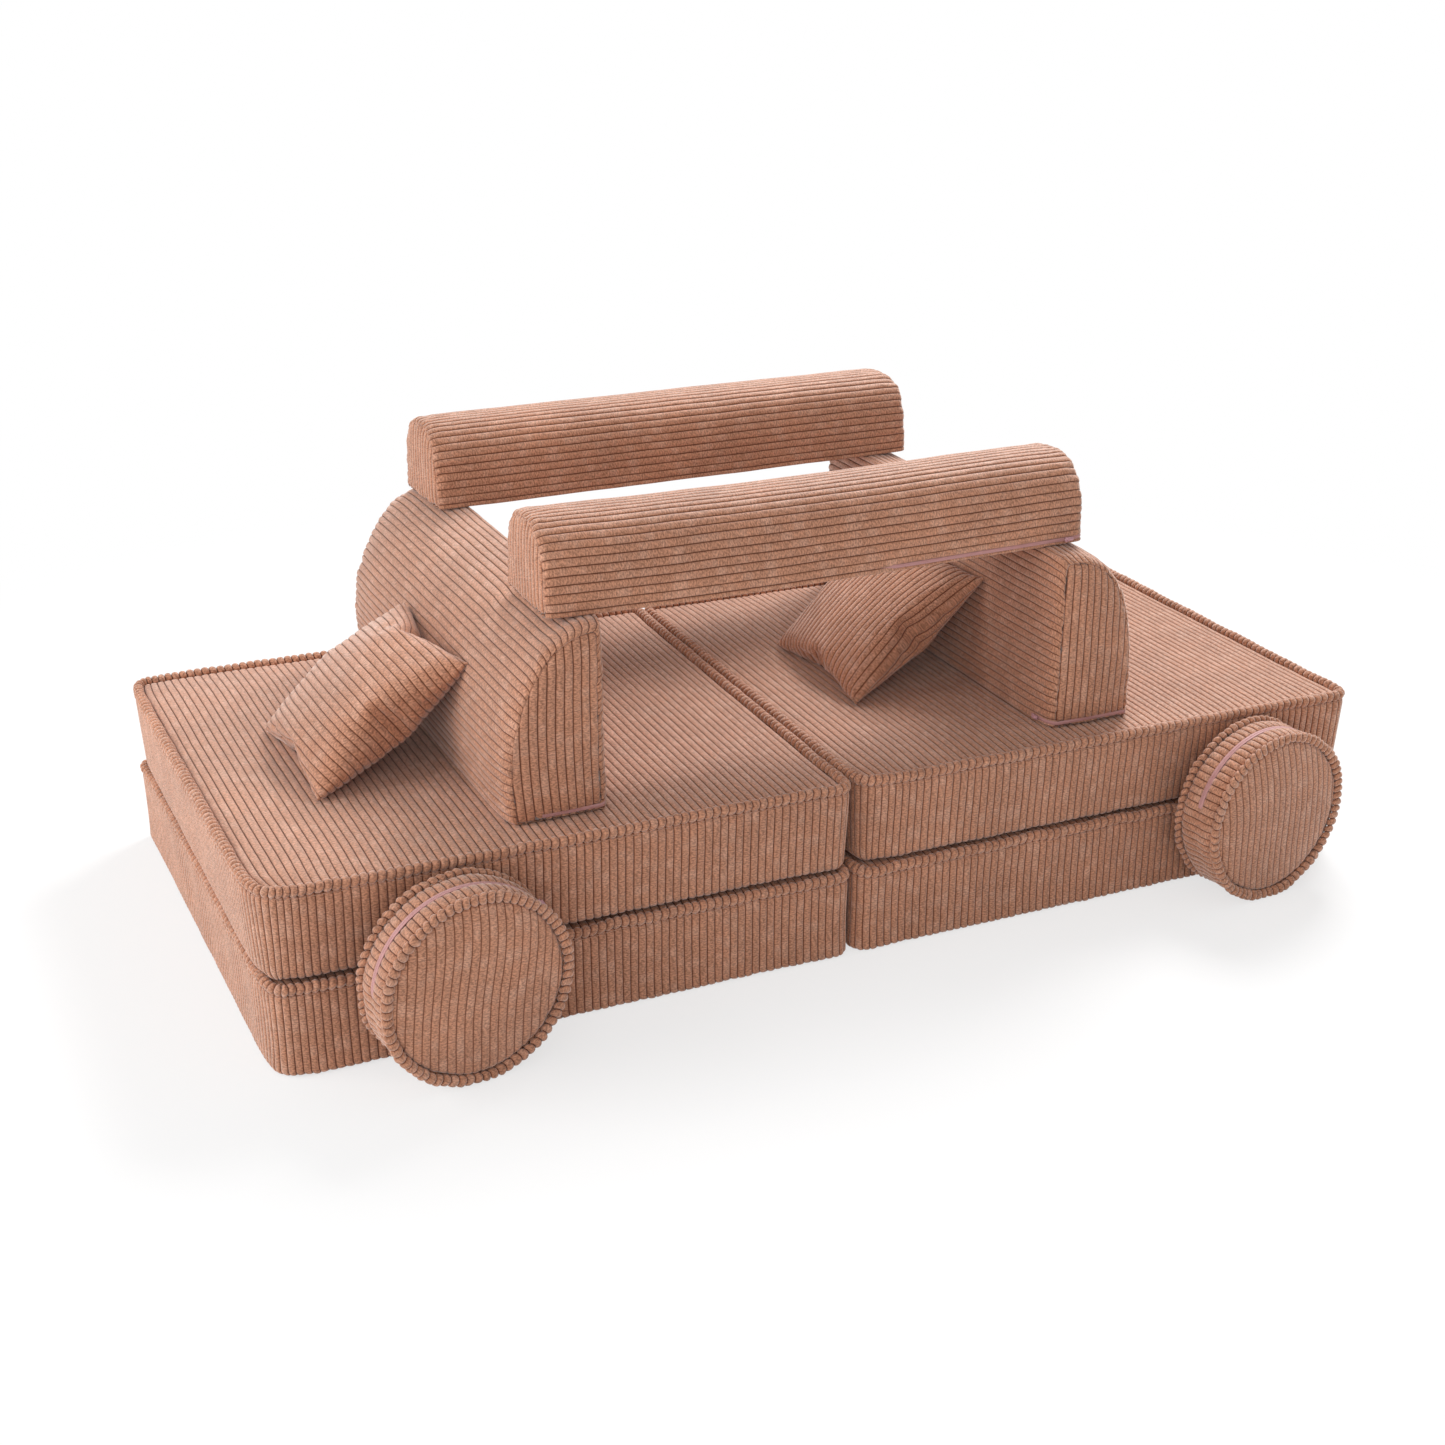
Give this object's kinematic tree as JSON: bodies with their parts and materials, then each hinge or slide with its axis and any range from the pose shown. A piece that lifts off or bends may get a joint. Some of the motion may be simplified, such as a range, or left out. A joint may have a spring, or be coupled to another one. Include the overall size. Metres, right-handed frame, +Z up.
{
  "type": "modular foam play sofa",
  "caption": "Modular corduroy play sofa laid out as a toy car: stacked square mattresses, quarter-round supports, half-round bars, round wheel cushions and loose pillows.",
  "frame": {"origin": "on the floor, under the middle of the whole layout's bounding box", "axes": "+X along the row of mattresses towards the right stack, -Y towards the front where the wheels stand, +Z up"},
  "size_m": [1.6, 0.8914, 0.6139],
  "materials": {
    "corduroy": "wide-wale corduroy, soft matte pile",
    "foam": "open-cell foam, matte",
    "wadding": "fibre filling, matte",
    "zip_tape": "woven tape with a nylon coil",
    "slider_paint": "satin enamel"
  },
  "bodies": {
    "left_lower": {"left_lower_cover": "corduroy", "left_lower_core": "foam", "left_lower_welt": "corduroy", "left_lower_zip": "zip_tape"},
    "left_lower_pull": {"left_lower_slider": "slider_paint"},
    "left_upper": {"left_upper_cover": "corduroy", "left_upper_core": "foam", "left_upper_welt": "corduroy", "left_upper_zip": "zip_tape"},
    "left_upper_pull": {"left_upper_slider": "slider_paint"},
    "right_lower": {"right_lower_cover": "corduroy", "right_lower_core": "foam", "right_lower_welt": "corduroy", "right_lower_zip": "zip_tape"},
    "right_lower_pull": {"right_lower_slider": "slider_paint"},
    "right_upper": {"right_upper_cover": "corduroy", "right_upper_core": "foam", "right_upper_welt": "corduroy", "right_upper_zip": "zip_tape"},
    "right_upper_pull": {"right_upper_slider": "slider_paint"},
    "left_support": {"left_support_cover": "corduroy", "left_support_core": "foam", "left_support_zip": "zip_tape"},
    "left_support_pull": {"left_support_slider": "slider_paint"},
    "right_support": {"right_support_cover": "corduroy", "right_support_core": "foam", "right_support_zip": "zip_tape"},
    "right_support_pull": {"right_support_slider": "slider_paint"},
    "near_bar": {"near_bar_cover": "corduroy", "near_bar_core": "foam", "near_bar_zip": "zip_tape"},
    "near_bar_pull": {"near_bar_slider": "slider_paint"},
    "far_bar": {"far_bar_cover": "corduroy", "far_bar_core": "foam", "far_bar_zip": "zip_tape"},
    "far_bar_pull": {"far_bar_slider": "slider_paint"},
    "left_wheel": {"left_wheel_cover": "corduroy", "left_wheel_core": "foam", "left_wheel_front_welt": "corduroy", "left_wheel_back_welt": "corduroy", "left_wheel_zip": "zip_tape"},
    "left_wheel_pull": {"left_wheel_slider": "slider_paint"},
    "right_wheel": {"right_wheel_cover": "corduroy", "right_wheel_core": "foam", "right_wheel_front_welt": "corduroy", "right_wheel_back_welt": "corduroy", "right_wheel_zip": "zip_tape"},
    "right_wheel_pull": {"right_wheel_slider": "slider_paint"},
    "left_pillow": {"left_pillow_cover": "corduroy", "left_pillow_filling": "wadding", "left_pillow_zip": "zip_tape"},
    "left_pillow_pull": {"left_pillow_slider": "slider_paint"},
    "right_pillow": {"right_pillow_cover": "corduroy", "right_pillow_filling": "wadding", "right_pillow_zip": "zip_tape"},
    "right_pillow_pull": {"right_pillow_slider": "slider_paint"}
  },
  "joints": [
    {"name": "left_upper_lift", "type": "slide", "parent": "left_lower", "child": "left_upper", "axis": [0, 0, 1], "range_m": [0, 0.25]},
    {"name": "right_stack_slide", "type": "slide", "parent": "left_lower", "child": "right_lower", "axis": [1, 0, 0], "range_m": [0, 0.3]},
    {"name": "right_upper_slide", "type": "slide", "parent": "right_lower", "child": "right_upper", "axis": [1, 0, 0], "range_m": [0, 0.2]},
    {"name": "left_support_slide", "type": "slide", "parent": "left_upper", "child": "left_support", "axis": [1, 0, 0], "range_m": [0, 0.2]},
    {"name": "right_support_slide", "type": "slide", "parent": "right_upper", "child": "right_support", "axis": [1, 0, 0], "range_m": [0, 0.25]},
    {"name": "near_bar_lift", "type": "slide", "parent": "left_support", "child": "near_bar", "axis": [0, 0, 1], "range_m": [0, 0.2]},
    {"name": "far_bar_lift", "type": "slide", "parent": "left_support", "child": "far_bar", "axis": [0, 0, 1], "range_m": [0, 0.2]},
    {"name": "left_wheel_slide", "type": "slide", "parent": "left_lower", "child": "left_wheel", "axis": [0, -1, 0], "range_m": [0, 0.3]},
    {"name": "right_wheel_slide", "type": "slide", "parent": "right_lower", "child": "right_wheel", "axis": [0, -1, 0], "range_m": [0, 0.3]},
    {"name": "left_pillow_slide", "type": "slide", "parent": "left_upper", "child": "left_pillow", "axis": [-1, 0, 0], "range_m": [0, 0.1]},
    {"name": "right_pillow_slide", "type": "slide", "parent": "right_upper", "child": "right_pillow", "axis": [-1, 0, 0], "range_m": [0, 0.08]},
    {"name": "left_lower_zip_pull", "type": "slide", "parent": "left_lower", "child": "left_lower_pull", "axis": [1, 0, 0], "range_m": [0, 0.5]},
    {"name": "left_upper_zip_pull", "type": "slide", "parent": "left_upper", "child": "left_upper_pull", "axis": [1, 0, 0], "range_m": [0, 0.5]},
    {"name": "right_lower_zip_pull", "type": "slide", "parent": "right_lower", "child": "right_lower_pull", "axis": [1, 0, 0], "range_m": [0, 0.5]},
    {"name": "right_upper_zip_pull", "type": "slide", "parent": "right_upper", "child": "right_upper_pull", "axis": [1, 0, 0], "range_m": [0, 0.5]},
    {"name": "left_support_zip_pull", "type": "slide", "parent": "left_support", "child": "left_support_pull", "axis": [-0.0227, 0.9997, 0], "range_m": [0, 0.62]},
    {"name": "right_support_zip_pull", "type": "slide", "parent": "right_support", "child": "right_support_pull", "axis": [0, 1, 0], "range_m": [0, 0.62]},
    {"name": "near_bar_zip_pull", "type": "slide", "parent": "near_bar", "child": "near_bar_pull", "axis": [-1, 0, 0], "range_m": [0, 0.68]},
    {"name": "far_bar_zip_pull", "type": "slide", "parent": "far_bar", "child": "far_bar_pull", "axis": [-0.9995, -0.0332, 0], "range_m": [0, 0.68]},
    {"name": "left_wheel_zip_pull", "type": "hinge", "parent": "left_wheel", "child": "left_wheel_pull", "pos_m": [-0.546, -0.38669, 0.125], "axis": [0.1564, -0.9877, 0], "range_deg": [0, 150]},
    {"name": "right_wheel_zip_pull", "type": "hinge", "parent": "right_wheel", "child": "right_wheel_pull", "pos_m": [0.615, -0.38489, 0.125], "axis": [0.1219, -0.9925, 0], "range_deg": [0, 150]},
    {"name": "left_pillow_zip_pull", "type": "slide", "parent": "left_pillow", "child": "left_pillow_pull", "axis": [0.813, 0.0426, 0.5807], "range_m": [0, 0.12]},
    {"name": "right_pillow_zip_pull", "type": "slide", "parent": "right_pillow", "child": "right_pillow_pull", "axis": [0.788, 0, 0.6157], "range_m": [0, 0.12]}
  ]
}
